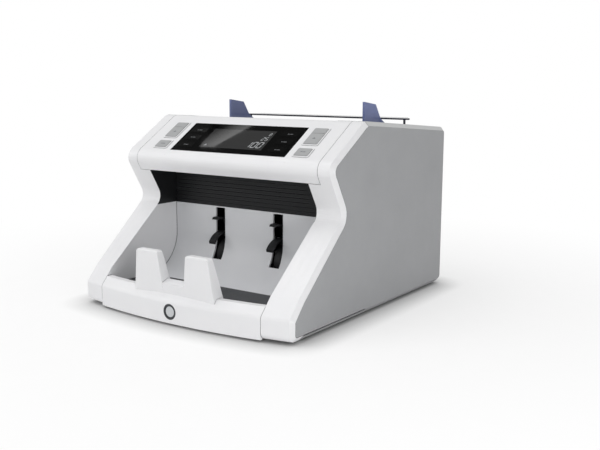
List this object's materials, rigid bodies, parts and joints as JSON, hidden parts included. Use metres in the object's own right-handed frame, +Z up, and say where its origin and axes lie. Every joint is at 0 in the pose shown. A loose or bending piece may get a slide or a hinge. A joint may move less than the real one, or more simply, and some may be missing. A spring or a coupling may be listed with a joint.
{
  "type": "banknote counter",
  "caption": "Table-top banknote counter with a top hopper, sloping console with display and keys, and an open pocket in front for the counted notes.",
  "frame": {"origin": "middle of the outline, on the surface that the rubber feet stand on", "axes": "+X to the machine's right as its user sees it, +Y from the pocket in front to the back, +Z up"},
  "size_m": [0.25, 0.293, 0.196],
  "materials": {
    "white_plastic": "satin moulding",
    "grey_plastic": "fine texture",
    "dark_plastic": "fine texture",
    "black_plastic": "satin moulding",
    "pale_plastic": "satin moulding",
    "key_plastic": "satin moulding",
    "gloss_black": "polished",
    "display_glass": "dark display glass",
    "smoked_plastic": "smoked, see-through",
    "gear_plastic": "natural acetal",
    "badge_metal": "brushed",
    "shaft_steel": "ground",
    "frame_steel": "dark zinc plate",
    "motor_steel": "plated can",
    "bronze": "sintered",
    "roller_rubber": "moulded",
    "circuit_board": "solder mask"
  },
  "bodies": {
    "housing": {"base_pan": "dark_plastic", "rubber_feet": "roller_rubber", "left_cheek": "white_plastic", "right_cheek": "white_plastic", "left_side_cover": "grey_plastic", "right_side_cover": "grey_plastic", "console_panel": "white_plastic", "front_lip": "white_plastic", "badge": "badge_metal", "top_cover": "grey_plastic", "rear_cover": "grey_plastic", "hopper_bed": "black_plastic", "hopper_front_wall": "black_plastic", "display_window": "gloss_black", "display_glass": "display_glass", "keypad_board": "circuit_board", "pocket_plate": "pale_plastic", "pocket_back_wall": "black_plastic", "frame_plates": "frame_steel", "tie_rods": "shaft_steel", "shaft_bushes": "bronze", "separator_bracket": "shaft_steel", "separator_pads": "roller_rubber", "path_guide": "black_plastic", "main_motor": "motor_steel", "main_belt": "roller_rubber", "stacker_motor": "motor_steel", "main_board": "circuit_board", "rear_ports": "dark_plastic", "power_inlet": "black_plastic"},
    "feed": {"feed_shaft": "shaft_steel", "feed_rollers": "roller_rubber", "feed_pulley": "black_plastic", "feed_gear": "gear_plastic"},
    "idler": {"idler_gear": "gear_plastic"},
    "pickup": {"pickup_shaft": "shaft_steel", "pickup_rollers": "roller_rubber", "pickup_gear": "gear_plastic"},
    "pressure": {"pressure_rollers": "motor_steel"},
    "main_drive": {"motor_pulley": "black_plastic"},
    "stacker": {"stacker_shaft": "shaft_steel", "stacker_wheels": "black_plastic", "stacker_gear": "gear_plastic"},
    "stacker_drive": {"stacker_pinion": "gear_plastic"},
    "guide_left": {"guide_left": "smoked_plastic"},
    "guide_right": {"guide_right": "smoked_plastic"},
    "guide_pinion": {"guide_pinion": "gear_plastic"},
    "note_support": {"note_support": "smoked_plastic"},
    "gap_knob": {"gap_knob": "dark_plastic"},
    "power_rocker": {"power_rocker": "black_plastic"},
    "window_key_left_top": {"window_key_left_top": "gloss_black"},
    "window_key_left_middle": {"window_key_left_middle": "gloss_black"},
    "window_key_left_bottom": {"window_key_left_bottom": "gloss_black"},
    "window_key_right_top": {"window_key_right_top": "gloss_black"},
    "window_key_right_middle": {"window_key_right_middle": "gloss_black"},
    "window_key_right_bottom": {"window_key_right_bottom": "gloss_black"},
    "tall_key_left": {"tall_key_left": "key_plastic"},
    "small_key_left": {"small_key_left": "key_plastic"},
    "tall_key_right": {"tall_key_right": "key_plastic"},
    "small_key_right": {"small_key_right": "key_plastic"}
  },
  "joints": [
    {"name": "feed_spin", "type": "hinge", "parent": "housing", "child": "feed", "pos_m": [0, 0.0175, 0.112], "axis": [1, 0, 0], "continuous": true},
    {"name": "idler_spin", "type": "hinge", "parent": "housing", "child": "idler", "pos_m": [0, 0.04324, 0.11566], "axis": [1, 0, 0], "continuous": true},
    {"name": "pickup_spin", "type": "hinge", "parent": "housing", "child": "pickup", "pos_m": [0, 0.05613, 0.13349], "axis": [1, 0, 0], "continuous": true},
    {"name": "pressure_spin", "type": "hinge", "parent": "housing", "child": "pressure", "pos_m": [0, -0.00643, 0.12316], "axis": [1, 0, 0], "continuous": true},
    {"name": "main_motor_spin", "type": "hinge", "parent": "housing", "child": "main_drive", "pos_m": [0, 0.0765, 0.066], "axis": [1, 0, 0], "continuous": true},
    {"name": "stacker_spin", "type": "hinge", "parent": "housing", "child": "stacker", "pos_m": [0, -0.0145, 0.061], "axis": [1, 0, 0], "continuous": true},
    {"name": "stacker_motor_spin", "type": "hinge", "parent": "housing", "child": "stacker_drive", "pos_m": [0, 0.00542, 0.04429], "axis": [1, 0, 0], "continuous": true},
    {"name": "guide_left_slide", "type": "slide", "parent": "housing", "child": "guide_left", "axis": [1, 0, 0], "range_m": [0, 0.028]},
    {"name": "guide_right_slide", "type": "slide", "parent": "housing", "child": "guide_right", "axis": [-1, 0, 0], "range_m": [0, 0.028]},
    {"name": "guide_pinion_spin", "type": "hinge", "parent": "housing", "child": "guide_pinion", "pos_m": [0, 0.0835, 0.143], "axis": [0, 0, 1], "range_deg": [0, 201]},
    {"name": "note_support_slide", "type": "slide", "parent": "housing", "child": "note_support", "axis": [0, 0, 1], "range_m": [0, 0.03]},
    {"name": "gap_knob_turn", "type": "hinge", "parent": "housing", "child": "gap_knob", "pos_m": [0, 0.1235, 0.166], "axis": [0, 0, 1], "range_deg": [-180, 180]},
    {"name": "power_rocker_tip", "type": "hinge", "parent": "housing", "child": "power_rocker", "pos_m": [0.078, 0.14, 0.066], "axis": [1, 0, 0], "range_deg": [0, 14]},
    {"name": "window_key_left_top_press", "type": "slide", "parent": "housing", "child": "window_key_left_top", "axis": [0, 0.5287, -0.8488], "range_m": [0, 0.0012], "stiffness_N_per_m": 1200},
    {"name": "window_key_left_middle_press", "type": "slide", "parent": "housing", "child": "window_key_left_middle", "axis": [0, 0.5287, -0.8488], "range_m": [0, 0.0012], "stiffness_N_per_m": 1200},
    {"name": "window_key_left_bottom_press", "type": "slide", "parent": "housing", "child": "window_key_left_bottom", "axis": [0, 0.5287, -0.8488], "range_m": [0, 0.0012], "stiffness_N_per_m": 1200},
    {"name": "window_key_right_top_press", "type": "slide", "parent": "housing", "child": "window_key_right_top", "axis": [0, 0.5287, -0.8488], "range_m": [0, 0.0012], "stiffness_N_per_m": 1200},
    {"name": "window_key_right_middle_press", "type": "slide", "parent": "housing", "child": "window_key_right_middle", "axis": [0, 0.5287, -0.8488], "range_m": [0, 0.0012], "stiffness_N_per_m": 1200},
    {"name": "window_key_right_bottom_press", "type": "slide", "parent": "housing", "child": "window_key_right_bottom", "axis": [0, 0.5287, -0.8488], "range_m": [0, 0.0012], "stiffness_N_per_m": 1200},
    {"name": "tall_key_left_press", "type": "slide", "parent": "housing", "child": "tall_key_left", "axis": [0, 0.5287, -0.8488], "range_m": [0, 0.0012], "stiffness_N_per_m": 1200},
    {"name": "small_key_left_press", "type": "slide", "parent": "housing", "child": "small_key_left", "axis": [0, 0.5287, -0.8488], "range_m": [0, 0.0012], "stiffness_N_per_m": 1200},
    {"name": "tall_key_right_press", "type": "slide", "parent": "housing", "child": "tall_key_right", "axis": [0, 0.5287, -0.8488], "range_m": [0, 0.0012], "stiffness_N_per_m": 1200},
    {"name": "small_key_right_press", "type": "slide", "parent": "housing", "child": "small_key_right", "axis": [0, 0.5287, -0.8488], "range_m": [0, 0.0012], "stiffness_N_per_m": 1200}
  ],
  "couplings": [
    {"joint": "idler_spin", "follows": "feed_spin", "ratio": -1.6},
    {"joint": "pickup_spin", "follows": "feed_spin", "ratio": 1.3333},
    {"joint": "pressure_spin", "follows": "feed_spin", "ratio": -2.25},
    {"joint": "main_motor_spin", "follows": "feed_spin", "ratio": 2},
    {"joint": "stacker_motor_spin", "follows": "stacker_spin", "ratio": -3.3333},
    {"joint": "guide_right_slide", "follows": "guide_left_slide", "ratio": 1},
    {"joint": "guide_pinion_spin", "follows": "guide_left_slide", "rad_per_m": 125}
  ]
}
